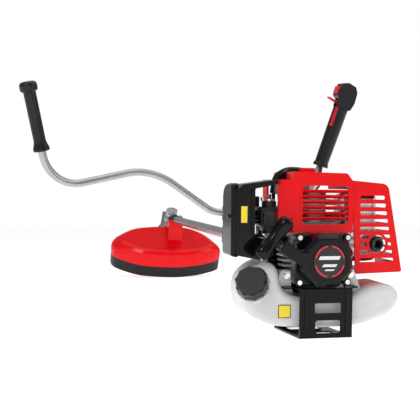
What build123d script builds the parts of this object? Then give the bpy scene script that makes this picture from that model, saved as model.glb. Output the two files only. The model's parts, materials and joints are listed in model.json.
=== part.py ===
"""Petrol brush cutter with a bull-horn handlebar, at real size, in millimetres.

Every piece is drawn in the machine frame: the crankshaft and the shaft tube lie along Y
(forward, towards the cutting head), X points to the operator's right, and Z points up with
zero on the crank axis. save() then turns the machine nose-up by REST_TILT and lifts it by
CRANK_HEIGHT, so that the stand's foot and the guard's skirt both rest on the plane z = 0.
"""
from build123d import *
from math import cos, radians, sin, tan
import os

os.makedirs("parts", exist_ok=True)

# ---- driving dimensions -------------------------------------------------------------
REST_TILT = 2.75          # nose-up angle of the shaft when the machine lies at rest
CRANK_HEIGHT = 135.0      # crank axis above the floor, over the middle of the foot
CLEAR = 0.4               # gap left between neighbouring pieces

STARTER_Y = -95.0         # outer face of the recoil starter
STARTER_BACK_Y = -56.0
STARTER_FLATS = 88.0      # across the flats of the octagonal cover
STARTER_SCREWS = [(-43, -38), (43, -38), (-43, 38), (43, 38)]
TANK_BOLTS = (-58, 58)
ROPE_RADIUS = 20.0        # radius of the outermost wrap of rope
ROPE_DIRECTION = Vector(-0.848, 0, 0.530)
ROPE_NORMAL = Vector(-0.530, 0, -0.848)
ROPE_Y = -76.0

TUBE_R = 13.0             # shaft tube, 26 mm
TUBE_BORE_R = 11.4
TUBE_START_Y = 118.0
TUBE_END_Y = 1455.0
DRIVE_R = 4.0             # solid drive shaft, 8 mm

HEAD_Y = 1500.0           # where the two gear axes cross
HEAD_ANGLE = 30.0         # output axis, forward of straight down

BAR_Y = 548.0             # handlebar clamp
BAR_Z = 58.0
BAR_R = 8.5

COVER_BACK_Y = -50.0      # rear face of the red engine cover
MUFFLER_COVER_Y = -42.0


# ---- helpers ------------------------------------------------------------------------
def save(name, shape):
    """Writes one node, moved from the machine frame to the row frame."""
    solids = list(shape.solids())
    placed = Pos(0, 0, CRANK_HEIGHT) * Rot(REST_TILT, 0, 0)
    moved = [placed * solid for solid in solids]
    export_step(moved[0] if len(moved) == 1 else Compound(children=moved), f"parts/{name}.step")


def rod(start, end, radius, end_radius=None):
    """A round bar from start to end, or a cone when end_radius is given."""
    axis = Vector(end) - Vector(start)
    plane = Plane(origin=start, z_dir=axis)
    if end_radius is None:
        return extrude(plane * Circle(radius), amount=axis.length)
    return loft([plane * Circle(radius), plane.offset(axis.length) * Circle(end_radius)])


def along_y(radius, y0, y1, x=0.0, z=0.0, end_radius=None):
    return rod((x, y0, z), (x, y1, z), radius, end_radius)


def ring_y(outer, inner, y0, y1, x=0.0, z=0.0):
    return along_y(outer, y0, y1, x, z) - along_y(inner, y0 - 1, y1 + 1, x, z)


def block(x0, x1, y0, y1, z0, z1, radius=0.0):
    middle = Pos((x0 + x1) / 2, (y0 + y1) / 2, (z0 + z1) / 2)
    solid = middle * Box(x1 - x0, y1 - y0, z1 - z0)
    return fillet(solid.edges(), radius) if radius else solid


def outline(points, radius):
    """A closed face with rounded corners, drawn in its own XY plane."""
    return make_face(FilletPolyline(*points, radius=radius, close=True))


def soft_outline(points, share=0.46):
    """A closed face whose every corner is an arc that takes share of its shorter side."""
    corners = [Vector(*point) for point in points]
    radii = []
    for i, corner in enumerate(corners):
        before, after = corner - corners[i - 1], corners[(i + 1) % len(corners)] - corner
        reach = share * min(before.length, after.length)
        radii.append(reach / tan(radians(before.get_angle(after)) / 2))
    return outline(points, radii)


def xz_slab(face, y0, y1):
    """Extrudes a face whose coordinates are (x, z) from y0 to y1."""
    plane = Plane(origin=(0, y0, 0), x_dir=(1, 0, 0), z_dir=(0, -1, 0))
    return extrude(plane * face, amount=y1 - y0, dir=(0, 1, 0))


def yz_slab(face, x0, x1):
    """Extrudes a face whose coordinates are (y, z) from x0 to x1."""
    plane = Plane(origin=(x0, 0, 0), x_dir=(0, 1, 0), z_dir=(1, 0, 0))
    return extrude(plane * face, amount=x1 - x0)


def bent_rod(points, radii, radius, bore=0.0):
    """A round bar or tube along straight runs joined by tangent arcs."""
    path = FilletPolyline(*points, radius=radii)
    start = Plane(origin=path @ 0, z_dir=path % 0)
    solid = sweep(start * Circle(radius), path=path)
    return solid - sweep(start * Circle(bore), path=path) if bore else solid


def polar_y(shape, count, start=0.0):
    """count copies of shape round the Y axis."""
    return [Rot(0, start + 360.0 * i / count, 0) * shape for i in range(count)]


def octagon(flats, rounding=0.0):
    face = Rot(0, 0, 22.5) * RegularPolygon(flats / 2, 8, major_radius=False)
    return fillet(face.vertices(), rounding) if rounding else face


# ---- crank train --------------------------------------------------------------------
CRANK_RADIUS = 14.0
PISTON_R = 19.6


def crankcase_rear():
    shell = along_y(46, -34, -1)
    deck = block(-36, 36, -34, -1, 10, 47.6)
    lugs = block(-66, 66, -30, -12, -35, -21)
    fins = [block(-66 + i, -40, -32, -6, 22 - 9 * i, 25 - 9 * i) for i in range(5)]
    backplate = xz_slab(outline([(-47, -42), (47, -42), (47, 42), (-47, 42)], 8), -40, -32)
    bosses = [along_y(5.5, STARTER_BACK_Y + CLEAR, -39, x, z) for x, z in STARTER_SCREWS]
    collar = ring_y(43, 40, STARTER_BACK_Y + CLEAR, -39)
    solid = shell + deck + lugs + fins + backplate + bosses + collar
    cavity = along_y(33, -22, 0)
    throat = along_y(21.5, -24, 24, 0, 0)
    barrel = rod((0, 0, 20), (0, 0, 60), 22.5)
    seat = along_y(7.9, -60, 0)
    tank_holes = [along_y(3, -42, 0, x, -28) for x in TANK_BOLTS]
    screw_holes = [along_y(2.6, -60, -44, x, z) for x, z in STARTER_SCREWS]
    return solid - cavity - throat - barrel - seat - tank_holes - screw_holes


def crankcase_front():
    shell = along_y(46, 0, 30)
    deck = block(-36, 36, 0, 30, 10, 47.6)
    cavity = along_y(33, -1, 20)
    barrel = rod((0, 0, 20), (0, 0, 60), 22.5)
    seat = along_y(7.9, -1, 31)
    return shell + deck - cavity - barrel - seat


def crankshaft():
    webs = [ring_y(31, 6, y0, y0 + 9) for y0 in (-16, 7)]
    pin = along_y(5.5, -16, 16, 0, CRANK_RADIUS)
    rear = along_y(7.5, -52, -7)
    front = along_y(7.5, 7, 58)
    return webs[0] + webs[1] + pin + rear + front


def cylinder():
    """Finned two-stroke barrel and head in one casting, with intake and exhaust ports."""
    bore_r = PISTON_R + 0.2
    solid = rod((0, 0, 48), (0, 0, 118), 26)
    solid += block(-36, 36, -32, 30, 48, 53)
    for i in range(8):
        z = 60 + 8 * i
        half = 40 - 0.6 * i
        solid += block(-half, half, -33, 33, z, z + 2.2)
    solid += rod((-48, 0, 70), (-20, 0, 70), 13)
    solid += rod((20, 0, 66), (48, 0, 66), 14)
    solid -= rod((0, 0, 40), (0, 0, 100), bore_r)
    solid -= rod((-50, 0, 70), (0, 0, 70), 8)
    solid -= rod((0, 0, 66), (50, 0, 66), 9)
    return solid - extrude(plug_plane(-20) * Circle(7), amount=60)


def plug_plane(distance):
    """Plane across the spark plug, which leans to the left of the barrel's axis."""
    lean = Vector(-0.3, 0, 0.954).normalized()
    return Plane(origin=Vector(-6, 0, 104) + lean * distance, z_dir=lean)


def spark_plug():
    thread = extrude(plug_plane(-6) * Circle(6.6), amount=26)
    hexagon = extrude(plug_plane(18.7) * RegularPolygon(9.5, 6), amount=8)
    insulator = extrude(plug_plane(26.7) * Circle(5), amount=13)
    terminal = extrude(plug_plane(39.5) * Circle(3), amount=6)
    return thread + hexagon + insulator + terminal


def spark_plug_cap():
    """Rubber elbow over the plug, with the high-tension lead moulded into it."""
    boot = extrude(plug_plane(30) * Circle(8.5), amount=24)
    boot = fillet(boot.edges().group_by(Axis.Z)[-1], 4)
    arm = bent_rod([(-21, 0, 151), (-44, 4, 152), (-60, 16, 141), (-63, 22, 112)], [24, 20], 7.4)
    lead = bent_rod([(-63, 22, 113), (-62, 26, 92), (-54, 44, 70)], [20], 3.2)
    web = xz_slab(outline([(-64, 122), (-28, 122), (-28, 152), (-46, 153), (-63, 141)], 4), 4, 14)
    socket = extrude(plug_plane(29) * Circle(5.4), amount=17.5)
    return boot + arm + lead + web - socket


# ---- flywheel, clutch and their housings --------------------------------------------
def flywheel():
    disc = along_y(42, 37, 46) + along_y(13.5, 32, 76)
    vane = block(-1.4, 1.4, 38, 49, 26, 43.4)
    return disc + polar_y(vane, 14) - along_y(7.8, 20, 60)


def fan_housing():
    """Black ring-shaped cover round the fan, with a slotted rear intake."""
    solid = along_y(72, 20, 58)
    solid = fillet(solid.edges().sort_by(Axis.Y)[0], 9)
    solid -= along_y(68, 31, 54)
    solid -= along_y(47, 0, 35)
    solid -= along_y(40, 50, 60)
    slots = [block(-90, -50, 15, 40, z, z + 5) for z in (-26, -16, -6, 4, 14)]
    solid = solid - slots - block(-80, 80, 10, 60, 34, 80) - block(57, 90, 10, 60, -80, 80)
    solid += block(53, 57, 20, 58, -42, 34)
    return solid - block(-37, 37, 10, 31, 9, 50)


SHOE_R = 36.6


def clutch_shoe(side):
    """One friction shoe: a half ring of 150 degrees with a lightening slot."""
    ring = ring_y(SHOE_R, 15, 62, 74)
    half = block(-60, 60, 60, 76, 4.5, 60)
    spring_seat = ring_y(27, 23.5, 60.5, 64)
    shoe = (ring & half) - spring_seat
    return Rot(0, 0 if side > 0 else 180, 0) * shoe


def clutch_drum():
    cup = along_y(40.5, 61, 80) - along_y(38, 55, 77)
    hub = along_y(6, 76, 100) + along_y(12, 79, 89.6)
    return cup + hub - rod((0, 84, 0), (0, 120, 0), 4.05)


def clutch_housing():
    """Aluminium bell with three cooling windows, which clamps the end of the shaft tube."""
    bell = along_y(46, 58.4, 92) + along_y(46, 92, 112, end_radius=20)
    neck = along_y(19, 105, 165)
    rim = ring_y(56, 44, 58.4, 66)
    solid = bell + neck + rim
    solid -= along_y(42.5, 50, 90.5)
    solid -= along_y(6.4, 80, 130)
    solid -= along_y(TUBE_R + 0.05, TUBE_START_Y, 200)
    window = block(-14, 14, 72, 86, 38, 60, 4)
    pinch = block(-1.2, 1.2, 125, 170, 10, 30)
    ears = block(-9, 9, 135, 155, 15, 27, 2) - pinch
    return solid + ears - polar_y(window, 3, 60) - pinch - along_y(TUBE_R + 0.05, 120, 200)


# ---- recoil starter -----------------------------------------------------------------
def starter_cover():
    shell = xz_slab(octagon(STARTER_FLATS, 9), STARTER_Y + 8, STARTER_BACK_Y)
    face = loft([
        Plane(origin=(0, STARTER_Y + 8, 0), x_dir=(1, 0, 0), z_dir=(0, -1, 0))
        * octagon(STARTER_FLATS, 9),
        Plane(origin=(0, STARTER_Y, 0), x_dir=(1, 0, 0), z_dir=(0, -1, 0))
        * octagon(STARTER_FLATS - 13, 7),
    ])
    base = xz_slab(outline([(-47, -42), (47, -42), (47, 42), (-47, 42)], 12),
                   STARTER_BACK_Y - 7, STARTER_BACK_Y)
    ears = [along_y(6.5, STARTER_BACK_Y - 11, STARTER_BACK_Y, x, z) for x, z in STARTER_SCREWS]
    solid = shell + face + base + ears
    solid = fillet(solid.edges().group_by(Axis.Y)[0], 2.4)
    solid -= along_y(30, STARTER_Y - 1, STARTER_Y + 1.2)
    solid -= along_y(37, STARTER_Y + 6, STARTER_BACK_Y + 1)
    solid -= rope_duct(5.0, 20)
    duct = rope_duct(10.5, 34) - rope_duct(5.0, 20) - along_y(43, -200, 0)
    post = along_y(5, STARTER_Y + 4, -67)
    screw_holes = [along_y(2.6, STARTER_BACK_Y - 20, STARTER_BACK_Y + 1, x, z)
                   for x, z in STARTER_SCREWS]
    return solid + duct + post - screw_holes


def rope_point(distance):
    """A point on the rope's pull line, measured from the foot of the pulley's radius."""
    return ROPE_NORMAL * ROPE_RADIUS + ROPE_DIRECTION * distance + Vector(0, ROPE_Y, 0)


DUCT_END = 79.0           # the duct's mouth, on the same scale as rope_point


def rope_duct(half_width, start):
    """The square duct that leads the rope out of the cover towards the handle."""
    plane = Plane(origin=rope_point(start), x_dir=(0, 1, 0), z_dir=ROPE_DIRECTION)
    section = RectangleRounded(half_width * 2, half_width * 2, half_width * 0.3)
    return extrude(plane * section, amount=DUCT_END - start)


def starter_pulley():
    drum = along_y(ROPE_RADIUS - 4, -82, -70)
    cheeks = along_y(30, -84, -81) + along_y(30, -71, -68)
    hub = along_y(14, -68, -62)
    return drum + cheeks + hub - along_y(5.3, -90, -50)


HANDLE_REACH = 97.5       # from the pulley's radius to the middle of the grip
HANDLE_TURN = -7.0        # the grip stands this much steeper than square to the rope


def handle_plane():
    """Origin in the middle of the pull grip, Z along the rope."""
    across = ROPE_DIRECTION.cross(Vector(0, 1, 0))
    origin = rope_point(HANDLE_REACH)
    return Plane(origin=origin, x_dir=across, z_dir=ROPE_DIRECTION)


# along the grip, then its section front to back and along the rope
HANDLE_SECTIONS = ((-40, 20, 17), (-37, 25, 22), (0, 21, 18.5), (37, 25, 23), (40, 20, 18))


def starter_handle():
    """Moulded T grip, waisted between flared ends, on a round neck that the rope enters."""
    plane = handle_plane()
    leaned = Plane(plane.location * Pos(-4, 0, 0) * Rot(0, HANDLE_TURN, 0))
    sections = []
    for offset_x, width, depth in HANDLE_SECTIONS:
        level = Plane(origin=leaned.from_local_coords((offset_x, 0, 0)),
                      x_dir=(0, 1, 0), z_dir=leaned.x_dir)
        sections.append(level * RectangleRounded(width, depth, 0.42 * min(width, depth)))
    grip = loft(sections)
    neck = extrude(plane.offset(-14.5) * Circle(8), amount=14)
    bore = extrude(plane.offset(-16) * Circle(2.4), amount=12)
    return grip + neck - bore


def starter_rope():
    """The rope from the pulley's groove, down the duct, to the knot in the handle."""
    return rod(rope_point(4), rope_point(HANDLE_REACH - 5), 1.8)


# ---- fuel system --------------------------------------------------------------------
CAP_AXIS = Vector(-0.36, -0.78, 0.51).normalized()
CAP_CENTRE = Vector(-127, -66, -35)


def cap_plane(distance=0.0):
    return Plane(origin=CAP_CENTRE + CAP_AXIS * distance, x_dir=(0, 0.547, 0.837), z_dir=CAP_AXIS)


def tank_outline():
    return soft_outline([(-139, -66), (-136, -34), (-117, -14), (-92, -3), (-78, -14), (-71, -52),
                         (-40, -66), (48, -65), (88, -48), (130, -44), (149, -64), (134, -94),
                         (74, -116), (-10, -119), (-88, -113), (-128, -94)])


def fuel_tank():
    """Blow-moulded tank that curls round the left of the fan housing."""
    body = xz_slab(tank_outline(), -62, 44)
    ends = body.edges().group_by(Axis.Y)
    body = fillet(ends[0] + ends[-1], 13)
    neck = extrude(cap_plane(-34) * Circle(21.5), amount=31)
    saddle = extrude(cap_plane(-48) * Circle(29), amount=30)
    lug = outline([(-84, -64), (-68, -19), (-50, -19), (-50, -44), (-44, -70)], 6)
    right_lug = outline([(44, -70), (50, -44), (50, -19), (65, -19), (80, -62)], 6)
    solid = body + saddle + xz_slab(lug, -44, -34) + xz_slab(right_lug, -44, -34)
    solid -= block(-67, 67, -61, -30, -50.5, -46.5)
    solid -= extrude(cap_plane(-17) * Circle(30), amount=70)
    solid += neck
    solid -= extrude(cap_plane(-40) * Circle(18), amount=60)
    bolts = [along_y(3.2, -50, -30, x, -28) for x in TANK_BOLTS]
    inside = xz_slab(offset(tank_outline(), -6), -54, 36)
    return solid - bolts - inside - along_y(74, 16, 60)


def fuel_cap():
    """Lobed screw cap that turns on the outside of the neck."""
    skirt = extrude(cap_plane(-16) * Circle(26), amount=18)
    rim = extrude(cap_plane(2) * Circle(26), amount=5, taper=22)
    lobes = [extrude(cap_plane(-16) * (Rot(0, 0, 36 * i) * Pos(23.2, 0) * Circle(4.6)), amount=18)
             for i in range(10)]
    solid = skirt + lobes + rim
    return solid - extrude(cap_plane(-17) * Circle(21.9), amount=16)


def fuel_cap_seal():
    return extrude(cap_plane(-2.7) * (Circle(21.4) - Circle(15)), amount=1.4)


# ---- stand --------------------------------------------------------------------------
def floor_z(y, height=0.0):
    """Machine-frame z of a point that lies height above the floor at that y."""
    return (height - CRANK_HEIGHT - y * sin(radians(REST_TILT))) / cos(radians(REST_TILT))


def tank_stand():
    """Pressed steel bracket: top flange, windowed rear plate, foot and a strap up in front."""
    thick, rear, bend_y, front_y, top = 3.0, -80.0, 62.0, 86.0, -47.0
    profile = [
        (-34, top), (rear, top), (rear, floor_z(rear)), (bend_y, floor_z(bend_y)),
        (front_y, -104), (front_y - thick, -102), (bend_y - 1.5, floor_z(bend_y, thick)),
        (rear + thick, floor_z(rear, thick)), (rear + thick, top - thick), (-34, top - thick),
    ]
    strip = yz_slab(outline(profile, 1.2), -46, 48)
    windows = xz_slab(outline([(-19, -89), (28, -89), (28, -72), (-19, -72)], 1.5), -90, -70)
    windows += xz_slab(outline([(-18, -123), (27, -123), (27, -101), (-18, -101)], 5), -90, -70)
    floor_holes = [block(-30, 32, y0, y1, -150, -118, 4) for y0, y1 in ((-66, -16), (16, 60))]
    ribs = [rod((x, rear + 0.6, -54), (x, rear + 0.6, -124), 3.2) for x in (-35, 38)]
    tabs = [block(x0, x1, -33.6, -30.6, -50, -19) for x0, x1 in ((-66, -51), (51, 66))]
    arms = [block(x0, x1, -60, -30.6, -50, -47) for x0, x1 in ((-66, -40), (40, 66))]
    holes = [along_y(3.2, -40, -20, x, -28) for x in TANK_BOLTS]
    inner = block(-60, 60, rear + thick, -20, -140, top - thick)
    return strip + [rib - inner for rib in ribs] + tabs + arms - windows - floor_holes - holes


# ---- carburettor and air cleaner ----------------------------------------------------
CARB_X0, CARB_X1 = -98.0, -58.0
CHOKE_PIVOT = (-14.0, 82.0)


def carburettor():
    body = block(CARB_X0, CARB_X1, -18, 18, 54, 88, 3)
    barrel = rod((-78, 0, 88), (-78, 0, 98), 13)
    pump = block(-94, -62, -24, -18, 56, 82, 1.5)
    insulator = block(CARB_X1, -48.3, -16, 16, 56, 84, 2)
    bowl = block(-92, -64, -14, 14, 48, 54)
    primer_ring = rod((-78, 0, 42), (-78, 0, 49), 12) - rod((-78, 0, 40), (-78, 0, 48), 9.4)
    bracket = block(-96, -87, 16, 34, 84, 88) + block(-96, -87, 30, 34, 84, 106)
    bracket -= along_y(3.65, 20, 40, -91.5, 102.4)
    solid = body + barrel + pump + bowl + insulator + primer_ring + bracket
    return solid - rod((-110, 0, 70), (-40, 0, 70), 8)


def carb_throttle_lever():
    """Lever on the throttle barrel; the cable's wire ends in the swivel at its tip."""
    disc = rod((-78, 0, 98.4), (-78, 0, 102), 9)
    arm = outline([(-78, 4), (-93, -3), (-92, -9), (-78, -4)], 1)
    swivel = rod((-91.5, -5.5, 98.4), (-91.5, -5.5, 105), 3.4)
    return disc + extrude(Plane.XY.offset(98.4) * arm, amount=2.2, dir=(0, 0, 1)) + swivel


def choke_lever():
    """Flat lever on the carburettor's outer face, beside the intake duct."""
    pad = rod((-102.6, *CHOKE_PIVOT), (-98.4, *CHOKE_PIVOT), 4.5)
    arm = block(-101.6, -99.4, -38, -14, 79.6, 84.4)
    thumb = block(-104, -98.6, -46, -36, 78, 86, 1.2)
    return pad + arm + thumb


def primer_bulb():
    dome = Pos(-78, 0, 41.4) * Sphere(8)
    keep = block(-90, -60, -12, 12, 30, 41.4)
    return (dome & keep) + rod((-78, 0, 41.4), (-78, 0, 44), 9)


AIR_FRONT = 26.0          # forward edge of the air cleaner


def air_cleaner_case():
    """C-shaped black box: an arm over the carburettor, a column and a deep lower chamber."""
    side = [(-145, 6), (-104, -2), (-99, 12), (-98, 34), (-114, 38), (-114, 120), (-73, 128),
            (-73, 136), (-136, 127), (-145, 118)]
    body = xz_slab(outline(side, 2.5), -40, AIR_FRONT - 2)
    chamber = block(-143, -118, -36, AIR_FRONT - 6, 14, 116)
    flange = yz_slab(air_cleaner_outline(1), -148, -144)
    ridge = [block(x, x + 3, -42.5, -39, 42, 120, 1) for x in (-121, -144.5)]
    duct = rod((-116, 0, 70), (CARB_X0 - CLEAR, 0, 70), 13)
    solid = body + flange + ridge + duct - chamber - block(-150, -140, -34, AIR_FRONT - 8, 16, 114)
    return solid - rod((-122, 0, 70), (-90, 0, 70), 9)


def air_cleaner_outline(grow=0.0):
    """Side outline of the cover and its flange, well rounded at the top."""
    points = [(-42 - grow, 4 - grow), (AIR_FRONT + grow, 4 - grow),
              (AIR_FRONT + grow, 128 + grow), (-42 - grow, 128 + grow)]
    return outline(points, [8, 8, 26, 10])


def air_filter():
    return block(-141, -128, -35.5, AIR_FRONT - 6.5, 15, 115.5)


def air_cleaner_cover():
    """Shallow domed outer cover, with two raised ribs and a finger latch on its rear edge."""
    body = yz_slab(air_cleaner_outline(), -156, -148.4)
    body = fillet(body.edges().group_by(Axis.X)[0], 5)
    ribs = [block(-153.5, -150, y, y + 2.5, 20, 100) for y in (-43.5, AIR_FRONT - 1)]
    body -= block(-153, -148, -36, AIR_FRONT - 6, 12, 104)
    latch = block(-163, -152, -46.5, -38, 70, 77, 1.5)
    return body + ribs + latch


# ---- muffler and red covers ---------------------------------------------------------
EXHAUST = (109.3, 24.0)


def muffler():
    box = block(60, 121, -14, 52, -8, 112, 10)
    seam = xz_slab(outline([(56.5, -11), (124, -11), (124, 115), (56.5, 115)], 12), 16, 19)
    flange = block(48.4, 61, -16, 16, 50, 84, 2)
    outlet = along_y(14, -26, 0, *EXHAUST) + along_y(14, -36, -26, *EXHAUST, 10.5)
    outlet += along_y(10.5, -44, -36, *EXHAUST)
    solid = box + seam + flange + outlet
    solid -= block(64, 117, -10, 48, -4, 108, 7)
    return solid - along_y(8, -50, -8, *EXHAUST) - rod((40, 0, 66), (70, 0, 66), 9)


MUFFLER_OUTLINE = [(60, 136), (128, 130), (156, -25), (68.5, -28)]


def muffler_cover():
    """Red shell over the muffler: nine slots that run on round its right side, and a port."""
    radii = [3, 14, 3, 3]
    shell = xz_slab(outline(MUFFLER_OUTLINE, radii), MUFFLER_COVER_Y, 62)
    inner = [(57, 133), (125, 127.4), (152.6, -22), (57, -25)]
    shell -= xz_slab(outline(inner, [2, 12, 2, 2]), MUFFLER_COVER_Y + 3, 70)
    shell -= block(50, 63, MUFFLER_COVER_Y + 3, 70, -40, 140)
    slots = []
    for row in range(9):
        z = 106 - 13.7 * row
        right = 123 + 2.2 * row
        corners = [(76, z - 3.4), (right, z - 3.4), (right, z + 3.4), (76, z + 3.4)]
        slots.append(xz_slab(outline(corners, 3.2), MUFFLER_COVER_Y - 1, MUFFLER_COVER_Y + 4))
        slots.append(block(right - 2, right + 25, MUFFLER_COVER_Y + 8, 44, z - 4.2, z + 4.6))
    bridge = ring_y(20, 16.2, MUFFLER_COVER_Y, MUFFLER_COVER_Y + 3, *EXHAUST)
    return shell - slots + bridge - along_y(16.2, -80, 0, *EXHAUST)


def engine_cover():
    """Red shroud over the cylinder: louvred rear window, chamfered left flank, open below."""
    shape = [(-50, 45), (59, 45), (59, 134), (48, 148), (-50, 150)]
    body = xz_slab(outline(shape, [2, 2, 3, 4, 3]), COVER_BACK_Y, 64)
    plan = Polyline((-71, -34), (-50, -50), (-40, -50), (-40, 64), (-71, 64), close=True)
    flank = extrude(Plane.XY.offset(45) * make_face(plan), amount=91)
    body = body + flank
    body -= xz_slab(outline([(-47, 30), (56, 30), (56, 133), (46.6, 145), (-47, 147)], 1.5),
                    COVER_BACK_Y + 3, 80)
    body -= block(-68, -40, COVER_BACK_Y + 16, 80, 30, 133)
    window = outline([(-33, 60), (50, 60), (50, 126), (-33, 126)], 6)
    body -= xz_slab(window, COVER_BACK_Y - 5, COVER_BACK_Y + 4)
    body -= yz_slab(outline([(-27, 20), (19, 20), (19, 112), (-27, 112)], 8), -90, -55)
    body -= block(-90, -55, 10, 80, 20, 88)
    body -= block(50, 65, -30, 80, 30, 120)
    frame = xz_slab(outline([(-36, 57), (53, 57), (53, 129), (-36, 129)], 8),
                    COVER_BACK_Y - 1.2, COVER_BACK_Y + 1)
    frame -= xz_slab(window, COVER_BACK_Y - 5, COVER_BACK_Y + 4)
    bars = []
    for i in range(6):
        z = 69.5 + 9.4 * i
        bars.append(Pos(8.5, COVER_BACK_Y + 4.5, z) * Rot(-24, 0, 0) * Box(86, 9, 2.4))
    hump = yz_slab(outline([(-32, 146), (-14, 146), (-15, 157), (-28, 157)], 3), -28, -4)
    plug_slot = block(-80, 0, -12, 36, 110, 170)
    return body + frame + bars + hump - plug_slot + cover_lip()


def cover_lip():
    """Short turned-in edge round the spark plug opening."""
    return block(-50, 0, -14, -12, 138, 149.5)


# ---- shaft --------------------------------------------------------------------------
def shaft_tube():
    return ring_y(TUBE_R, TUBE_BORE_R, TUBE_START_Y + CLEAR, TUBE_END_Y)


def drive_shaft():
    return along_y(DRIVE_R, 86, 1474)


EYE_Z = 31.0


def harness_clamp():
    """Two-bolt strap round the tube with an upright plate and an eye for the harness hook."""
    y0, y1 = 330.0, 350.0
    solid = ring_y(19, TUBE_R + 0.02, y0, y1)
    solid += block(-29, 29, y0, y1, -4, 4, 1.5) - along_y(TUBE_R + 1, 300, 400)
    solid += yz_slab(outline([(y0 + 2, 14), (y1 - 2, 14), (y1, 42), (y0, 42)], 5), -2.5, 2.5)
    solid -= rod((-20, (y0 + y1) / 2, EYE_Z), (20, (y0 + y1) / 2, EYE_Z), 5.5)
    holes = [rod((x, (y0 + y1) / 2, -10), (x, (y0 + y1) / 2, 10), 2.6) for x in (-24, 24)]
    return solid - along_y(TUBE_R + 0.02, 300, 400) - holes


# ---- handlebar ----------------------------------------------------------------------
LEFT_ROUTE = [(-6, BAR_Y, BAR_Z), (-56, BAR_Y, BAR_Z), (-212, 530, 164), (-449, 440, 111),
              (-497.5, 392, 338)]
LEFT_RADII = [70, 150, 84]
RIGHT_ROUTE = [(6, BAR_Y, BAR_Z), (76, BAR_Y, BAR_Z), (160, 466, 92), (247, 430, 370)]
RIGHT_RADII = [40, 60]


def point_along(a, b, distance):
    """The point that lies distance back from b on the line from a to b."""
    a, b = Vector(a), Vector(b)
    return b - (b - a).normalized() * distance


def handlebar_left():
    end = point_along(LEFT_ROUTE[-2], LEFT_ROUTE[-1], 6)
    return bent_rod(LEFT_ROUTE[:-1] + [end], LEFT_RADII, BAR_R, BAR_R - 1.5)


def handlebar_right():
    end = point_along(RIGHT_ROUTE[-2], RIGHT_ROUTE[-1], 60)
    return bent_rod(RIGHT_ROUTE[:-1] + [end], RIGHT_RADII, BAR_R, BAR_R - 1.5)


def left_grip():
    """Smooth rubber sleeve with a flared guard below and a round knob above."""
    top = Vector(LEFT_ROUTE[-1])
    plane = Plane(origin=point_along(LEFT_ROUTE[-2], top, 148),
                  z_dir=top - Vector(LEFT_ROUTE[-2]))
    side = FilletPolyline((10, 0), (18, 0), (18, 5), (13.2, 20), (13.4, 130), (19, 130),
                          (19, 151), (10, 151), radius=[1.2, 4, 30, 3, 4.5, 8])
    rim = Polyline(side @ 1, (0, 151), (0, 0), side @ 0)
    sleeve = revolve(Plane.XZ * make_face(side.edges() + rim.edges()), Axis.Z)
    return plane.location * (sleeve - Pos(0, 0, 72) * Cylinder(BAR_R + 0.05, 144))


def grip_plane(distance):
    """Plane across the right grip: local X points right, local Y forward, Z up the grip."""
    a, b = Vector(RIGHT_ROUTE[-2]), Vector(RIGHT_ROUTE[-1])
    axis = (b - a).normalized()
    base = point_along(a, b, 208)
    across = Vector(0, -1, 0).cross(axis)
    return Plane(origin=base + axis * distance, x_dir=across * -1, z_dir=axis)


def throttle_grip():
    """The whole moulding before it is split: a long barrel under an angular switch head."""
    sections = [grip_plane(d) * Ellipse(w / 2, h / 2) for d, w, h in
                ((0, 37, 37), (5, 37, 37), (10, 32, 34), (90, 34, 36), (152, 35, 37))]
    barrel = loft(sections, ruled=True)
    side = grip_plane(0)
    upright = Plane(origin=side.origin + side.y_dir * 19, x_dir=side.x_dir, z_dir=side.y_dir * -1)
    profile = [(-15, 146), (17, 143), (22, 165), (20, 190), (12, 202), (-8, 206), (-22, 199),
               (-25, 170), (-16, 163)]
    head = extrude(upright * outline(profile, [3, 8, 8, 8, 5, 5, 3, 3, 4]), amount=39)
    head = fillet(head.edges().group_by(Axis(side.origin, side.y_dir))[-1], 4)
    return barrel + head


def grip_frame(turn=0.0):
    """The right grip's own frame, optionally turned about the grip's axis."""
    return grip_plane(0).location * Rot(0, 0, turn)


def grip_box(x0, x1, y0, y1, d0, d1, turn=0.0):
    return grip_frame(turn) * block(x0, x1, y0, y1, d0, d1)


def grip_pin(x, d, y0, y1, radius, turn=0.0):
    """A round bar across the right grip, along its local Y."""
    return grip_frame(turn) * along_y(radius, y0, y1, x, d)


LOCK_TURN = 42.0          # the lock-out lever faces this far round towards the operator
TRIGGER_PIVOT = (-3.0, 158.0)
LOCK_PIVOT = (-15.5, 141.0)
SWITCH_PIVOT = (-17.0, 183.0)


def grip_half(side):
    """One of the two half shells: side -1 faces the operator, side +1 faces forward."""
    keep = grip_box(-60, 60, 0.15, 60, -20, 240) if side > 0 else \
        grip_box(-60, 60, -60, -0.15, -20, 240)
    solid = throttle_grip() & keep
    solid -= extrude(grip_plane(-20) * Circle(BAR_R + 0.1), amount=170)
    solid -= grip_box(-12, 16, -12, 12, 149.5, 196)
    solid -= grip_box(-34, -8, -6.5, 6.5, 143, 165)
    solid -= grip_box(-34, -10, -15.8, 15.8, 172.4, 193.6)
    solid -= grip_box(-34, -9.6, -4, 4, 96, 148, LOCK_TURN)
    if side < 0:
        solid += grip_pin(*TRIGGER_PIVOT, -13, 11.5, 2)
        solid += grip_pin(*SWITCH_PIVOT, -18, 14, 1.5)
        solid += grip_pin(*LOCK_PIVOT, -5, 5, 1.4, LOCK_TURN)
    return solid.solids().sort_by(SortBy.VOLUME)[-1]


def grip_rear():
    return grip_half(-1)


def grip_front():
    return grip_half(1)


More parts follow.
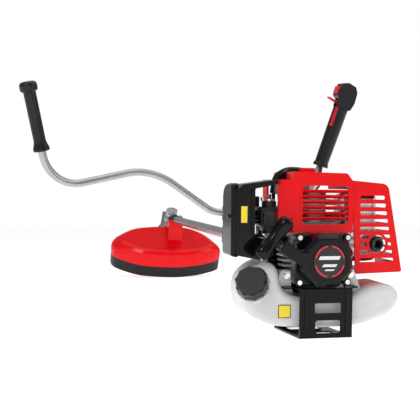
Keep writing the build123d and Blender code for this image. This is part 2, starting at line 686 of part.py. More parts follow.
def throttle_trigger():
    """Thumb lever: a hub on its pin, a curved paddle outside and a cable arm inside."""
    hub = grip_pin(*TRIGGER_PIVOT, -5.5, 5.5, 5)
    plane = grip_plane(0)
    upright = Plane(origin=plane.origin + plane.y_dir * 5, x_dir=plane.x_dir,
                    z_dir=plane.y_dir * -1)
    x, d = TRIGGER_PIVOT
    paddle = outline([(x, d + 3), (x - 18, d + 1), (x - 36, d + 4), (x - 37, d),
                      (x - 19, d - 4), (x, d - 4)], 1.5)
    arm = outline([(x - 3, d), (x + 3, d), (x + 11, d + 5), (x + 9, d + 8)], 1)
    solid = hub + extrude(upright * paddle, amount=10) + extrude(upright * arm, amount=10)
    return solid - grip_pin(*TRIGGER_PIVOT, -20, 20, 2.3)


def lockout_lever():
    body = grip_box(-20, -13.2, -3.5, 3.5, 98, 145.5, LOCK_TURN)
    body = fillet(body.edges(), 1.5)
    return body - grip_pin(*LOCK_PIVOT, -20, 20, 1.7, LOCK_TURN)


def stop_switch():
    """Two-position rocker on the left face of the switch head."""
    body = grip_box(-26.8, -13, -15, 15, 174, 192)
    body = fillet(body.edges(), 1.2)
    return body - grip_pin(*SWITCH_PIVOT, -20, 20, 1.8)


CLAMP_HALF_X = 29.0
CLAMP_Y0, CLAMP_Y1 = BAR_Y - 19, BAR_Y + 19
CLAMP_BOLTS = [(x, y) for x in (-21, 21) for y in (BAR_Y - 14, BAR_Y + 14)]


def handle_clamp_piece(z0, z1):
    body = block(-CLAMP_HALF_X, CLAMP_HALF_X, CLAMP_Y0, CLAMP_Y1, z0, z1)
    body = fillet(body.edges().filter_by(Axis.Z), 4)
    body -= along_y(TUBE_R + 0.05, 0, 900)
    body -= rod((-100, BAR_Y, BAR_Z), (100, BAR_Y, BAR_Z), BAR_R + 0.05)
    return body - [rod((x, y, -40), (x, y, 90), 2.7) for x, y in CLAMP_BOLTS]


def handle_clamp_base():
    return handle_clamp_piece(-17, -0.3)


def handle_clamp_riser():
    riser = handle_clamp_piece(0.3, BAR_Z - 0.3)
    waist = [block(x0, x1, 500, 600, 20, 40, 5) for x0, x1 in ((-60, -26.5), (26.5, 60))]
    return riser - waist - block(-14, 14, 500, 600, 21, 40, 5)


def handle_clamp_cap():
    return handle_clamp_piece(BAR_Z + 0.3, BAR_Z + 14)


def clamp_bolts():
    """Socket-head screws of the handlebar clamp and of the guard's clamp."""
    bolts = []
    for x, y in CLAMP_BOLTS:
        bolts.append(socket_screw(x, y, -14, BAR_Z + 14.4))
    for x in GUARD_SCREWS_X:
        bolts.append(socket_screw(x, 1412, -17, 11.8))
    return Compound(children=bolts)


def socket_screw(x, y, tip_z, seat_z):
    shank = rod((x, y, tip_z), (x, y, seat_z), 2.5)
    head = rod((x, y, seat_z), (x, y, seat_z + 5), 4.2)
    socket = extrude(Plane(origin=(x, y, seat_z + 2.6)) * RegularPolygon(2.3, 6), amount=4)
    return shank + head - socket


# ---- throttle cable -----------------------------------------------------------------
CABLE_ROUTE = [(-91.5, 36, 102.4), (-91.5, 100, 102.4), (17, 215, 20), (17, 420, 20),
               (84, 500, 70), (146, 440, 82), (176, 432, 128)]
CABLE_RADII = [50, 60, 60, 26, 26]


def throttle_cable():
    """Outer cable from the carburettor, along the tube and the right bar, to the grip."""
    outer = bent_rod(CABLE_ROUTE, CABLE_RADII, 2.5)
    adjuster = rod((-91.5, 28, 102.4), (-91.5, 44, 102.4), 3.6)
    return outer + adjuster


def cable_clips():
    """Two plastic clips that hold the cable against the shaft tube."""
    clips = []
    for y in (262, 372):
        band = ring_y(15.6, TUBE_R + 0.05, y, y + 10) + ring_y(5, 2.55, y, y + 10, 17, 20)
        web = rod((17, y, 20), (17, y + 10, 20), 4) + block(8, 17, y, y + 10, 9, 18)
        solid = band + web - along_y(TUBE_R + 0.05, 200, 500) - along_y(2.55, 200, 500, 17, 20)
        clips.append(solid)
    return Compound(children=clips)


# ---- cutting head -------------------------------------------------------------------
def head_frame():
    """Z along the output axis, X to the right and Y rearwards in the plane of the blade."""
    angle = radians(HEAD_ANGLE)
    return Plane(origin=(0, HEAD_Y, 0), x_dir=(1, 0, 0), z_dir=(0, sin(angle), -cos(angle)))


def disc(radius, t0, t1, end_radius=None):
    """A round slice on the output axis."""
    low = head_frame().offset(t0)
    if end_radius is None:
        return extrude(low * Circle(radius), amount=t1 - t0)
    return loft([low * Circle(radius), low.offset(t1 - t0) * Circle(end_radius)])


SPINDLE_R = 6.0
PINION_TEETH, GEAR_TEETH = 14, 19
CONE_OUTER, CONE_INNER = 24.4, 16.6
PINION_CONE, GEAR_CONE = radians(25.03), radians(34.97)


def gear_head():
    """Cast angle-drive housing with a split, clamped socket for the shaft tube."""
    socket = along_y(19, 1432, 1482)
    body = Pos(0, HEAD_Y, 0) * Sphere(25.5)
    upper = disc(20.5, -36, 0)
    lower = disc(23, 0, 32, 19) + disc(19, 32, 40)
    flange = disc(21, 36, 40)
    ears = block(-9, 9, 1438, 1456, 15, 27, 2)
    solid = socket + body + upper + lower + flange + ears
    solid -= disc(17.5, -21.5, 10) + disc(4.4, -28, -20) + disc(SPINDLE_R + 0.35, 0, 50)
    solid -= along_y(5.4, 1450, 1474) + along_y(TUBE_R + 0.05, 1400, 1455.4)
    solid -= along_y(12.4, 1465, HEAD_Y)
    return solid - block(-1.2, 1.2, 1425, 1458, 10, 30)


def bevel_gear(plane, cone, teeth, phase):
    """A straight bevel gear whose apex is the plane's origin and whose axis is its Z."""
    roots, flanks = [], []
    for reach in (CONE_OUTER, CONE_INNER):
        radius = reach * sin(cone)
        module = 2 * radius / teeth
        level = Pos(0, 0, -reach * cos(cone))
        foot, tip = 0.8 * module, 0.38 * module
        low, high = radius - 1.6 * module, radius + 0.65 * module
        corners = [(low, -foot), (high, -tip), (high, tip), (low, foot)]
        roots.append(level * Circle(radius - 1.05 * module))
        flanks.append(level * make_face(Polyline(*corners, close=True)))
    tooth = loft(flanks, ruled=True)
    teeth_around = [Rot(0, 0, phase + 360.0 * i / teeth) * tooth for i in range(teeth)]
    return plane.location * (loft(roots, ruled=True) + teeth_around)


def pinion():
    plane = Plane(origin=(0, HEAD_Y, 0), x_dir=(0, 0, 1), z_dir=(0, 1, 0))
    gear = bevel_gear(plane, PINION_CONE, PINION_TEETH, 0)
    shank = along_y(5, 1457, 1479) + along_y(8, 1466, 1479)
    return gear + shank - along_y(DRIVE_R + 0.02, 1400, 1474.1)


def output_spindle():
    """Driven bevel gear on its spindle, threaded at the lower end."""
    axis = head_frame()
    plane = Plane(origin=axis.origin, x_dir=axis.y_dir, z_dir=axis.z_dir)
    gear = bevel_gear(plane, GEAR_CONE, GEAR_TEETH, 180.0 / GEAR_TEETH)
    spindle = disc(SPINDLE_R, -20.5, 58) + disc(4, -27.5, -20) + disc(5, 58, 70)
    flange = disc(19, 41, 46.4) + disc(10, 46, 48.2)
    return gear + spindle + flange


BLADE_R = 127.5
BLADE_T0, BLADE_T1 = 46.4, 48.4


def cutting_blade():
    """Three-tooth steel brush blade, 255 mm across."""
    arm = make_face(Polyline((-24, 0), (-31, 62), (-20, 121), (10, BLADE_R - 2), (22, 70),
                             (34, 20), close=True))
    face = Circle(46) + [Rot(0, 0, 120 * i + 180) * arm for i in range(3)]
    holes = Circle(10.05) + [Rot(0, 0, 120 * i) * (Pos(0, 28) * Circle(6)) for i in range(3)]
    return extrude(head_frame().offset(BLADE_T0) * (face - holes), amount=BLADE_T1 - BLADE_T0)


def blade_washer():
    return disc(18, BLADE_T1, 51) - disc(SPINDLE_R + 0.02, 40, 60)


def blade_nut():
    hexagon = extrude(head_frame().offset(51) * RegularPolygon(10, 6), amount=10)
    solid = hexagon + disc(12.5, 51, 53)
    return solid - disc(SPINDLE_R + 0.02, 40, 58.2) - disc(5.02, 57, 80)


# ---- guard --------------------------------------------------------------------------
GUARD_POINTS = [(-161, 26), (-226, 86), (-220, 128), (-178, 160), (-128, 185), (-60, 196),
                (10, 200), (84, 188), (142, 166), (168, 148), (128, 65), (60, 16), (-70, 12)]
GUARD_SCREWS_X = (-20, 20)
GUARD_SHOULDER, GUARD_RIM, SKIRT_RIM = 52.0, 75.0, 118.6


def guard_section(t, scale=1.0, grow=0.0):
    """The guard's outline at depth t, drawn in towards its middle by scale."""
    middle = Vector(-20, 96)
    points = [(middle.X + (x - middle.X) * scale, middle.Y + (y - middle.Y) * scale)
              for x, y in GUARD_POINTS]
    face = soft_outline(points)
    return head_frame().offset(t) * (offset(face, grow) if grow else face)


# depth along the output axis and scale of the outline, from the crown to the shoulder
GUARD_DOME = ((16.0, 0.80), (20.0, 0.88), (28.0, 0.945), (39.0, 0.985), (GUARD_SHOULDER, 1.0))


def guard_solid(thinner):
    """The guard as a full block; thinner shrinks it all round to make the hollow."""
    solid = extrude(guard_section(GUARD_SHOULDER, 1.0, -thinner),
                    amount=GUARD_RIM - GUARD_SHOULDER + thinner)
    levels = [(depth + thinner, scale) for depth, scale in GUARD_DOME[:-1]] + [GUARD_DOME[-1]]
    sections = [guard_section(depth, scale, -thinner) for depth, scale in levels]
    for upper, lower in zip(sections, sections[1:]):
        solid += loft([upper, lower], ruled=True)
    return solid


def guard():
    """Red guard: a smooth dome, open in front, with a raised mount under the tube."""
    shell = guard_solid(0) - guard_solid(3)
    shell -= disc(134, 42, 130)
    mount = yz_slab(outline([(1398, -21.5), (1474, -21.5), (1490, -30), (1408, -77)], 3), -25, 25)
    hollow = yz_slab(outline([(1402, -26), (1462, -26), (1476, -32), (1411, -70)], 2), -21, 21)
    holes = [rod((x, 1412, -60), (x, 1412, 0), 2.7) for x in GUARD_SCREWS_X]
    saddle = block(-25, 25, 1398, 1426, -26, -0.3)
    solid = shell + mount + saddle - hollow - disc(27, -10, 43) - holes
    return solid - along_y(TUBE_R + 0.05, 1300, 1500)


def guard_skirt():
    """Black extension, flush with the guard's band, that hooks inside it and rests on the ground."""
    band = extrude(guard_section(GUARD_RIM + 0.4, 1.0, -0.6), amount=SKIRT_RIM - GUARD_RIM - 0.4)
    hook = extrude(guard_section(GUARD_RIM - 14, 1.0, -3.4), amount=20)
    inner = extrude(guard_section(GUARD_RIM - 15, 1.0, -6.4), amount=SKIRT_RIM - GUARD_RIM + 20)
    front = extrude(head_frame().offset(0) * (Pos(0, -52) * Rectangle(600, 300)), amount=200)
    return band + hook - inner - front


def guard_clamp():
    strap = ring_y(18, TUBE_R + 0.05, 1400, 1424) + block(-25, 25, 1400, 1424, 0.3, 11.4, 1)
    strap &= block(-30, 30, 1390, 1430, 0.3, 30)
    holes = [rod((x, 1412, -30), (x, 1412, 30), 2.7) for x in GUARD_SCREWS_X]
    return strap - along_y(TUBE_R + 0.05, 1300, 1440) - holes


# ---- fasteners and small parts ------------------------------------------------------
def starter_screws():
    screws = []
    for x, z in STARTER_SCREWS:
        head = along_y(4, STARTER_BACK_Y - 14.2, STARTER_BACK_Y - 11.2, x, z)
        slot = block(x - 3, x + 3, STARTER_BACK_Y - 15, STARTER_BACK_Y - 13, z - 0.5, z + 0.5)
        screws.append(head + along_y(2.4, STARTER_BACK_Y - 12, -46, x, z) - slot)
    return Compound(children=screws)


def tank_bolts():
    bolts = []
    for x in TANK_BOLTS:
        collar = along_y(6, -45.8, -44.2, x, -28)
        hexagon = xz_slab(Pos(x, -28) * RegularPolygon(4.6, 6), -50, -45)
        bolts.append(collar + hexagon + along_y(2.8, -45, -14, x, -28))
    return Compound(children=bolts)


def starter_badge():
    """Disc on the starter cover: a broken ring of four arcs round three plain stripes."""
    face_y = STARTER_Y - 0.2
    disc_y = along_y(28, face_y, STARTER_Y + 1.0)
    arcs = ring_y(26.6, 24.2, STARTER_Y - 1.2, face_y)
    gaps = block(-4.5, 4.5, STARTER_Y - 3, STARTER_Y - 0.1, -40, 40)
    gaps += block(-40, 40, STARTER_Y - 3, STARTER_Y - 0.1, -6, 6)
    stripes = []
    for half, z, tall in ((18, 3.0, 6.0), (12, -9.0, 4.5), (8, -15.5, 2.4)):
        slanted = [(-half - 1.5, z), (half - 1.5, z), (half + 1.5, z + tall), (-half + 1.5, z + tall)]
        stripes.append(xz_slab(make_face(Polyline(*slanted, close=True)), STARTER_Y - 0.9, face_y))
    return disc_y + (arcs - gaps) + stripes


def labels():
    """Two plain self-adhesive labels, on the tank and on the air cleaner."""
    return Compound(children=[block(-78, -56, -63.2, -62.3, -98, -76),
                              block(-140, -127, -41.2, -40.3, 61, 91)])


NODES = [
    crankcase_rear, crankcase_front, crankshaft, cylinder, spark_plug, spark_plug_cap, flywheel,
    fan_housing, clutch_drum, clutch_housing, starter_cover, starter_badge, starter_pulley,
    starter_rope, starter_handle, starter_screws, fuel_tank, fuel_cap, fuel_cap_seal, tank_stand,
    tank_bolts, labels, carburettor, carb_throttle_lever, choke_lever, primer_bulb,
    air_cleaner_case, air_filter, air_cleaner_cover, muffler, muffler_cover, engine_cover,
    shaft_tube, drive_shaft, harness_clamp, handlebar_left, handlebar_right, left_grip,
    grip_rear, grip_front, throttle_trigger, lockout_lever, stop_switch, handle_clamp_base,
    handle_clamp_riser, handle_clamp_cap, clamp_bolts, throttle_cable, cable_clips, gear_head,
    pinion, output_spindle, cutting_blade, blade_washer, blade_nut, guard, guard_skirt,
    guard_clamp,
]

for node in NODES:
    save(node.__name__, node())
save("clutch_shoe_upper", clutch_shoe(1))
save("clutch_shoe_lower", clutch_shoe(-1))
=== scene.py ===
"""Finishes, soft light and camera for the brush cutter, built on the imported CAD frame."""

import json
import math

import bmesh
import bpy
from mathutils import Matrix, Vector


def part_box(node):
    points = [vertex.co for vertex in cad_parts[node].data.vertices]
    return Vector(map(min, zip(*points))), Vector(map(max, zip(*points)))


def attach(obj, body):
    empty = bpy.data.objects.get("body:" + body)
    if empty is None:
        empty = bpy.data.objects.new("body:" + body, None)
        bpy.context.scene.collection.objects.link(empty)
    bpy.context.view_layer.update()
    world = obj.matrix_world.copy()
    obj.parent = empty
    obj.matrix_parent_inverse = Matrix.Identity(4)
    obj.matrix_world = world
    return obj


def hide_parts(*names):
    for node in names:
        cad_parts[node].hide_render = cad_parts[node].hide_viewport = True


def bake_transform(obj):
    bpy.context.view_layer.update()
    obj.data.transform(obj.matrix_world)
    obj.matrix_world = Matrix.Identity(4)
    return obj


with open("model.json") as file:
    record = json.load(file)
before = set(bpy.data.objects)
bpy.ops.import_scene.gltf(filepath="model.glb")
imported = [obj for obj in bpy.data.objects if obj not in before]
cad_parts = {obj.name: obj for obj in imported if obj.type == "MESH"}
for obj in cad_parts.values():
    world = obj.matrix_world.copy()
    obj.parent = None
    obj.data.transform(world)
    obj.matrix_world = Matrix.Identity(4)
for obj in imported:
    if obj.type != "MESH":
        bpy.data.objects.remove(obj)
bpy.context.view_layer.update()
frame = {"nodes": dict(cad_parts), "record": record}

REST_TILT = math.radians(2.75)   # nose-up angle of the shaft
CRANK_HEIGHT = 0.135             # crank axis above the floor


def machine_point(x, y, z):
    """A point given in the machine's own frame, in millimetres, moved to the row frame."""
    turned = Matrix.Rotation(REST_TILT, 3, "X") @ Vector((x, y, z)) * 0.001
    return turned + Vector((0.0, 0.0, CRANK_HEIGHT))


def machine_direction(x, y, z):
    return (Matrix.Rotation(REST_TILT, 3, "X") @ Vector((x, y, z))).normalized()


# ---- material kit -------------------------------------------------------------------
class Graph:
    """A short way to build one node material on a Principled shader."""

    def __init__(self, name):
        self.material = bpy.data.materials.new(name)
        self.material.use_nodes = True
        self.nodes = self.material.node_tree.nodes
        self.links = self.material.node_tree.links
        self.shader = self.nodes["Principled BSDF"]
        self.coordinates = self.nodes.new("ShaderNodeTexCoord").outputs["Object"]

    def plug(self, value, socket):
        if isinstance(value, bpy.types.NodeSocket):
            self.links.new(value, socket)
        else:
            socket.default_value = value

    def noise(self, scale, detail=3.0, roughness=0.55, stretch=(1.0, 1.0, 1.0)):
        mapping = self.nodes.new("ShaderNodeMapping")
        mapping.inputs["Scale"].default_value = stretch
        texture = self.nodes.new("ShaderNodeTexNoise")
        texture.inputs["Scale"].default_value = scale
        texture.inputs["Detail"].default_value = detail
        texture.inputs["Roughness"].default_value = roughness
        self.links.new(self.coordinates, mapping.inputs["Vector"])
        self.links.new(mapping.outputs["Vector"], texture.inputs["Vector"])
        return texture.outputs["Fac"]

    def ramp(self, value, low, high, start=0.35, end=0.65):
        node = self.nodes.new("ShaderNodeMapRange")
        node.inputs["From Min"].default_value = start
        node.inputs["From Max"].default_value = end
        node.inputs["To Min"].default_value = low
        node.inputs["To Max"].default_value = high
        self.plug(value, node.inputs["Value"])
        return node.outputs["Result"]

    def mix(self, factor, first, second):
        node = self.nodes.new("ShaderNodeMix")
        node.data_type = "RGBA"
        self.plug(factor, node.inputs["Factor"])
        self.plug(first, node.inputs["A"])
        self.plug(second, node.inputs["B"])
        return node.outputs["Result"]

    def math(self, operation, first, second=0.0):
        node = self.nodes.new("ShaderNodeMath")
        node.operation = operation
        self.plug(first, node.inputs[0])
        self.plug(second, node.inputs[1])
        return node.outputs["Value"]

    def bump(self, height, distance, strength=1.0):
        node = self.nodes.new("ShaderNodeBump")
        node.inputs["Strength"].default_value = strength
        node.inputs["Distance"].default_value = distance
        self.links.new(height, node.inputs["Height"])
        self.links.new(node.outputs["Normal"], self.shader.inputs["Normal"])

    def along(self, direction, origin):
        """Distance along a direction from a point, in metres."""
        offset = self.nodes.new("ShaderNodeVectorMath")
        offset.operation = "SUBTRACT"
        self.links.new(self.coordinates, offset.inputs[0])
        offset.inputs[1].default_value = origin
        product = self.nodes.new("ShaderNodeVectorMath")
        product.operation = "DOT_PRODUCT"
        self.links.new(offset.outputs["Vector"], product.inputs[0])
        product.inputs[1].default_value = direction
        return product.outputs["Value"]


RED = (0.76, 0.001, 0.004)
BLACK = (0.003, 0.003, 0.004)
DUST = (0.42, 0.40, 0.36)
BARE_STEEL = (0.62, 0.62, 0.63)
BRIGHT_STEEL = (0.80, 0.80, 0.82)
OUTLET_DARK = (0.02, 0.018, 0.016)
PAPER = (1.0, 1.0, 1.0)
COAT_ROUGHNESS = 0.06


def rgba(colour, factor=1.0):
    return (*[min(1.0, channel * factor) for channel in colour], 1.0)


def finish(name, colour, rough, metallic=0.0, mottle=0.08, spread=0.06, grain=700.0,
           depth=0.00004, stretch=(1.0, 1.0, 1.0), dust=0.0, coat=0.0, subsurface=0.0, gloss=0.5):
    """A surface with uneven tone and gloss, a fine grain and, if asked, settled dust."""
    graph = Graph(name)
    blotches = graph.noise(28.0, 4.0)
    darker, lighter = rgba(colour, 1 - mottle), rgba(colour, 1 + mottle)
    tone = graph.mix(graph.ramp(blotches, 0.0, 1.0), darker, lighter)
    if dust:
        normal = graph.nodes.new("ShaderNodeNewGeometry").outputs["Normal"]
        axes = graph.nodes.new("ShaderNodeSeparateXYZ")
        graph.links.new(normal, axes.inputs["Vector"])
        settled = graph.ramp(axes.outputs["Z"], 0.0, dust, 0.55, 1.0)
        patchy = graph.math("MULTIPLY", settled, graph.ramp(graph.noise(60.0, 6.0), 0.2, 1.0))
        tone = graph.mix(patchy, tone, rgba(DUST))
    fine = graph.noise(grain, 2.0, 0.5, stretch)
    smudges = graph.noise(12.0, 5.0, 0.65)
    gloss_map = graph.ramp(smudges, rough - spread, rough + spread)
    graph.plug(tone, graph.shader.inputs["Base Color"])
    graph.plug(gloss_map, graph.shader.inputs["Roughness"])
    graph.shader.inputs["Metallic"].default_value = metallic
    graph.shader.inputs["Specular IOR Level"].default_value = gloss
    graph.shader.inputs["Coat Weight"].default_value = coat
    graph.shader.inputs["Coat Roughness"].default_value = COAT_ROUGHNESS
    if subsurface:
        graph.shader.inputs["Subsurface Weight"].default_value = subsurface
        graph.shader.inputs["Subsurface Radius"].default_value = (0.02, 0.02, 0.018)
        graph.shader.inputs["Subsurface Scale"].default_value = 0.3
    graph.bump(fine, depth)
    return graph.material


ALONG_SHAFT = (1.0, 0.02, 1.0)

FINISHES = {
    "cast_grey": dict(colour=(0.42, 0.43, 0.45), rough=0.42, metallic=0.75, mottle=0.14, spread=0.1,
                      grain=420.0, depth=0.0003, dust=0.15),
    "black_casting": dict(colour=(0.03, 0.03, 0.034), rough=0.45, metallic=0.2, grain=520.0,
                          depth=0.0002, dust=0.1),
    "steel": dict(colour=(0.55, 0.55, 0.56), rough=0.28, metallic=1.0, grain=900.0),
    "blued_steel": dict(colour=(0.30, 0.31, 0.34), rough=0.3, metallic=1.0, mottle=0.2,
                        spread=0.12, grain=500.0, depth=0.00008),
    "zinc_screws": dict(colour=(0.74, 0.72, 0.66), rough=0.25, metallic=1.0, mottle=0.15),
    "aluminium_tube": dict(colour=(0.40, 0.41, 0.43), rough=0.34, metallic=1.0, mottle=0.05,
                           grain=900.0, stretch=ALONG_SHAFT, depth=0.000001),
    "red_plastic": dict(colour=RED, rough=0.22, mottle=0.05, spread=0.05, grain=380.0,
                        depth=0.00003, coat=0.12, gloss=0.15),
    "red_lever": dict(colour=(0.70, 0.006, 0.03), rough=0.3, grain=700.0, depth=0.00008, gloss=0.2),
    "black_gloss": dict(colour=BLACK, rough=0.14, spread=0.04, grain=260.0, depth=0.00004,
                        coat=0.2, gloss=0.1),
    "black_plastic": dict(colour=(0.006, 0.006, 0.008), rough=0.32, spread=0.08, grain=1300.0,
                          depth=0.00012, gloss=0.28),
    "black_rubber": dict(colour=(0.005, 0.005, 0.006), rough=0.26, spread=0.08, grain=600.0,
                         depth=0.00008, gloss=0.3),
    "tank_plastic": dict(colour=(0.66, 0.67, 0.66), rough=0.36, mottle=0.05, spread=0.05,
                         grain=240.0, depth=0.0001, subsurface=0.25),
    "black_paint": dict(colour=(0.003, 0.003, 0.004), rough=0.2, spread=0.06, grain=420.0,
                        depth=0.00006, coat=0.12, gloss=0.1),
    "filter_foam": dict(colour=(0.06, 0.06, 0.065), rough=0.9, grain=1200.0, depth=0.001),
    "rope": dict(colour=(0.62, 0.61, 0.57), rough=0.8, grain=1500.0, depth=0.0003),
    "porcelain": dict(colour=(0.85, 0.85, 0.82), rough=0.15, mottle=0.02, grain=200.0),
    "bulb_clear": dict(colour=(0.55, 0.50, 0.36), rough=0.2, grain=200.0),
}


RAISED_ABOVE = 0.0005            # height over the badge's middle where paint starts
ARCS_BEYOND = 0.0225             # radius that parts the red arcs from the white bars
BAR_WHITE = (0.78, 0.78, 0.78)


def badge_finish():
    """Black disc with raised red arcs and raised white bars."""
    graph = Graph("badge")
    low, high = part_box("starter_badge")
    axis = machine_direction(0, -1, 0)
    centre = (low + high) / 2
    up, across = machine_direction(0, 0, 1), machine_direction(1, 0, 0)
    height = graph.along(axis, centre)
    vertical, sideways = graph.along(up, centre), graph.along(across, centre)
    radius = graph.math("SQRT", graph.math("ADD", graph.math("MULTIPLY", vertical, vertical),
                                           graph.math("MULTIPLY", sideways, sideways)))
    raised = graph.math("GREATER_THAN", height, RAISED_ABOVE)
    outer = graph.math("GREATER_THAN", radius, ARCS_BEYOND)
    spots = graph.mix(outer, rgba(BAR_WHITE), rgba(RED))
    grain = graph.noise(900.0, 2.0)
    dark = graph.mix(grain, rgba(BLACK, 0.8), rgba(BLACK, 1.6))
    graph.plug(graph.mix(raised, dark, spots), graph.shader.inputs["Base Color"])
    graph.plug(graph.ramp(graph.noise(30.0), 0.14, 0.26), graph.shader.inputs["Roughness"])
    graph.bump(grain, 0.00003)
    return graph.material


EXHAUST = (109.3, 0.0, 24.0)     # a point on the outlet's axis, in the machine's frame
OUTLET_DARK_BEYOND = 0.016


def muffler_finish():
    """Bright pressed steel, with a dark, non-metallic outlet pipe rearward of a set distance."""
    graph = Graph("muffler_steel")
    rearward = graph.along(machine_direction(0, -1, 0), machine_point(*EXHAUST))
    # the outlet pipe turns dark and non-metallic past this distance rearward of the outlet point
    dark_outlet = graph.math("GREATER_THAN", rearward, OUTLET_DARK_BEYOND)
    stains = graph.ramp(graph.noise(40.0, 5.0), 0.0, 1.0, 0.3, 0.7)
    bright = graph.mix(stains, rgba(BARE_STEEL), rgba(BRIGHT_STEEL))
    graph.plug(graph.mix(dark_outlet, bright, rgba(OUTLET_DARK)), graph.shader.inputs["Base Color"])
    graph.plug(graph.ramp(stains, 0.34, 0.22, 0.0, 1.0), graph.shader.inputs["Roughness"])
    graph.plug(graph.math("SUBTRACT", 1.0, dark_outlet), graph.shader.inputs["Metallic"])
    graph.bump(graph.noise(500.0, 2.0), 0.00005)
    return graph.material


# middle of each label and half its size, in the machine's frame
LABELS = (((-67.0, -63.0, -87.0), 0.011, 0.011), ((-133.5, -41.0, 76.0), 0.0065, 0.015))
LABEL_BORDER = 0.0012


def label_finish():
    """Yellow film with a faint print grain and a thin dark border."""
    graph = Graph("label_yellow")
    up, across = machine_direction(0, 0, 1), machine_direction(1, 0, 0)
    inside = 0.0
    for middle, half_width, half_height in LABELS:
        origin = machine_point(*middle)
        x = graph.math("ABSOLUTE", graph.along(across, origin))
        z = graph.math("ABSOLUTE", graph.along(up, origin))
        narrow = graph.math("LESS_THAN", x, half_width - LABEL_BORDER)
        low = graph.math("LESS_THAN", z, half_height - LABEL_BORDER)
        inside = graph.math("MAXIMUM", graph.math("MULTIPLY", narrow, low), inside)
    grain = graph.noise(600.0, 3.0)
    film = graph.mix(grain, (0.90, 0.66, 0.01, 1.0), (0.98, 0.78, 0.03, 1.0))
    graph.plug(graph.mix(inside, (0.03, 0.03, 0.03, 1.0), film), graph.shader.inputs["Base Color"])
    graph.plug(graph.ramp(graph.noise(40.0), 0.3, 0.45), graph.shader.inputs["Roughness"])
    graph.bump(grain, 0.00003)
    return graph.material


materials = {name: finish(name, **values) for name, values in FINISHES.items()}
materials["badge"] = badge_finish()
materials["label_yellow"] = label_finish()
materials["muffler_steel"] = muffler_finish()

for entry in frame["record"]["subparts"]:
    for slot in frame["nodes"][entry["node"]].material_slots:
        slot.material = materials[entry["material_slot"]]


# ---- starter rope -------------------------------------------------------------------
ROPE_RADIUS = 0.0018
ROPE_DIRECTION = machine_direction(-0.848, 0.0, 0.530)
STRANDS = 3
STRAND_RADIUS = 0.0009
LAY = 0.009                      # length of one twist
STRAND_SIDES = 8
RINGS_PER_LAY = 12


def circle(middle, side, other, radius, corners):
    """Points round a circle in the plane of two unit vectors."""
    angles = [2 * math.pi * corner / corners for corner in range(corners)]
    return [middle + (side * math.cos(angle) + other * math.sin(angle)) * radius
            for angle in angles]


def rope_mesh(start, end):
    """Three strands twisted round each other from start to end."""
    axis = (end - start).normalized()
    side = axis.cross(Vector((0.0, 1.0, 0.0))).normalized()
    other = axis.cross(side)
    length = (end - start).length
    rings = int(length / LAY * RINGS_PER_LAY)
    vertices, faces = [], []
    for strand in range(STRANDS):
        first = len(vertices)
        for ring in range(rings + 1):
            travel = length * ring / rings
            turn = 2 * math.pi * (travel / LAY + strand / STRANDS)
            out = side * math.cos(turn) + other * math.sin(turn)
            middle = start + axis * travel + out * STRAND_RADIUS
            vertices += circle(middle, side, other, STRAND_RADIUS, STRAND_SIDES)
        for ring in range(rings):
            for corner in range(STRAND_SIDES):
                here = first + ring * STRAND_SIDES
                there = here + STRAND_SIDES
                after = (corner + 1) % STRAND_SIDES
                faces.append((here + corner, here + after, there + after, there + corner))
    mesh = bpy.data.meshes.new("rope_strands")
    mesh.from_pydata(vertices, [], faces)
    for face in mesh.polygons:
        face.use_smooth = True
    return mesh


low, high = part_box("starter_rope")
reach = abs(ROPE_DIRECTION.x)
overhang = 2 * ROPE_RADIUS * math.sqrt(1 - reach * reach)
half_rope = ROPE_DIRECTION * ((high.x - low.x - overhang) / reach / 2)
rope_start, rope_end = (low + high) / 2 - half_rope, (low + high) / 2 + half_rope
rope = bpy.data.objects.new("starter_rope_strands", rope_mesh(rope_start, rope_end))
rope.data.materials.append(materials["rope"])
bpy.context.scene.collection.objects.link(rope)
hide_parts("starter_rope")
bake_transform(rope)


# ---- throttle cable boot ------------------------------------------------------------
BOOT_PATH = ((174.0, 433.6, 122.0), (176.3, 432.6, 131.0),
             (178.6, 437.0, 150.0), (181.0, 443.0, 172.0))
BOOT_RADII = (0.0027, 0.0036, 0.0042, 0.0048)
BOOT_SIDES = 20
BOOT_RINGS_PER_STEP = 6
GROOVE = 0.93                    # radius in the grooves, as a share of the boot's


def boot_mesh():
    """Tapered rubber boot with shallow rings, from the cable's end into the right grip."""
    path = [machine_point(*point) for point in BOOT_PATH]
    axis = (path[-1] - path[0]).normalized()
    side = axis.cross(Vector((0.0, 1.0, 0.0))).normalized()
    other = axis.cross(side)
    rings = []
    for step in range(len(path) - 1):
        for part in range(BOOT_RINGS_PER_STEP):
            share = part / BOOT_RINGS_PER_STEP
            middle = path[step].lerp(path[step + 1], share)
            radius = BOOT_RADII[step] * (1 - share) + BOOT_RADII[step + 1] * share
            rings.append((middle, radius * (1.0 if part % 2 else GROOVE)))
    rings.append((path[-1], BOOT_RADII[-1]))
    vertices, faces = [], []
    for middle, radius in rings:
        vertices += circle(middle, side, other, radius, BOOT_SIDES)
    for ring in range(len(rings) - 1):
        here = ring * BOOT_SIDES
        for corner in range(BOOT_SIDES):
            after = (corner + 1) % BOOT_SIDES
            faces.append((here + corner, here + after, here + BOOT_SIDES + after,
                          here + BOOT_SIDES + corner))
    faces.append(tuple(reversed(range(BOOT_SIDES))))
    faces.append(tuple(range(len(vertices) - BOOT_SIDES, len(vertices))))
    mesh = bpy.data.meshes.new("cable_boot")
    mesh.from_pydata(vertices, [], faces)
    for face in mesh.polygons:
        face.use_smooth = len(face.vertices) == 4
    return mesh


boot = bpy.data.objects.new("throttle_cable_boot", boot_mesh())
boot.data.materials.append(materials["black_rubber"])
bpy.context.scene.collection.objects.link(boot)
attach(boot, "machine")


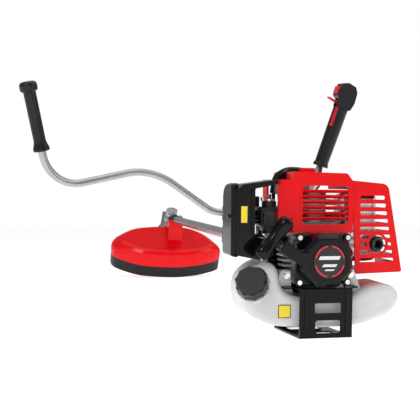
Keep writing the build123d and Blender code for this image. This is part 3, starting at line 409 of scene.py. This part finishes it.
# ---- floor, light and camera --------------------------------------------------------
def plane(name, size, location):
    mesh = bpy.data.meshes.new(name)
    shape = bmesh.new()
    bmesh.ops.create_grid(shape, x_segments=1, y_segments=1, size=size / 2)
    shape.to_mesh(mesh)
    shape.free()
    piece = bpy.data.objects.new(name, mesh)
    piece.location = location
    bpy.context.scene.collection.objects.link(piece)
    return piece


FLOOR_SIZE = 60.0
FLOOR_GLOW = 0.62                # lifts the far floor to the backdrop's white
BACKDROP, SKY = 1.0, 0.38        # brightness to the camera and to the machine

floor = plane("floor", FLOOR_SIZE, (0.0, 0.0, 0.0))
paper = Graph("paper")
paper.plug(paper.mix(paper.noise(3.0), rgba(PAPER, 0.93), rgba(PAPER, 0.95)),
           paper.shader.inputs["Base Color"])
paper.shader.inputs["Roughness"].default_value = 0.9
paper.shader.inputs["Specular IOR Level"].default_value = 0.1
paper.shader.inputs["Emission Color"].default_value = rgba(PAPER)
paper.shader.inputs["Emission Strength"].default_value = FLOOR_GLOW
floor.data.materials.append(paper.material)


def area_light(name, position, target, size, power):
    light = bpy.data.lights.new(name, "AREA")
    light.shape = "RECTANGLE"
    light.size, light.size_y = size
    light.energy = power
    piece = bpy.data.objects.new(name, light)
    piece.location = position
    piece.rotation_euler = (Vector(target) - Vector(position)).to_track_quat("-Z", "Y").to_euler()
    bpy.context.scene.collection.objects.link(piece)


def studio_world(backdrop, ambient):
    """A white backdrop to the camera and a dimmer grey sky to everything it lights."""
    world = bpy.data.worlds.new("studio")
    world.use_nodes = True
    nodes, links = world.node_tree.nodes, world.node_tree.links
    seen, sky = nodes["Background"], nodes.new("ShaderNodeBackground")
    seen.inputs["Color"].default_value = rgba(PAPER)
    seen.inputs["Strength"].default_value = backdrop
    sky.inputs["Color"].default_value = rgba(PAPER)
    sky.inputs["Strength"].default_value = ambient
    choice, rays = nodes.new("ShaderNodeMixShader"), nodes.new("ShaderNodeLightPath")
    links.new(rays.outputs["Is Camera Ray"], choice.inputs["Fac"])
    links.new(sky.outputs["Background"], choice.inputs[1])
    links.new(seen.outputs["Background"], choice.inputs[2])
    links.new(choice.outputs["Shader"], nodes["World Output"].inputs["Surface"])
    bpy.context.scene.world = world


studio_world(BACKDROP, SKY)

engine = (0.0, 0.0, 0.12)
area_light("key", (-1.7, -1.7, 1.9), engine, (1.0, 1.0), 26.0)
area_light("top", (0.2, 0.6, 2.6), (0.0, 0.6, 0.0), (2.4, 3.2), 30.0)
area_light("right", (2.2, -0.6, 1.2), engine, (0.8, 1.4), 9.0)

CAMERA_POSITION = (-0.4738, -1.3219, 0.1975)
CAMERA_YAW = math.radians(12.4)
CAMERA_PITCH = math.radians(0.83)

camera = bpy.data.cameras.new("camera")
camera.lens = 66.86
camera.sensor_width = 36.0
camera.clip_end = 100.0
view = bpy.data.objects.new("camera", camera)
view.location = CAMERA_POSITION
view.rotation_euler = (math.pi / 2 + CAMERA_PITCH, 0.0, -CAMERA_YAW)
bpy.context.scene.collection.objects.link(view)
bpy.context.scene.camera = view
bpy.context.scene.view_settings.view_transform = "Standard"
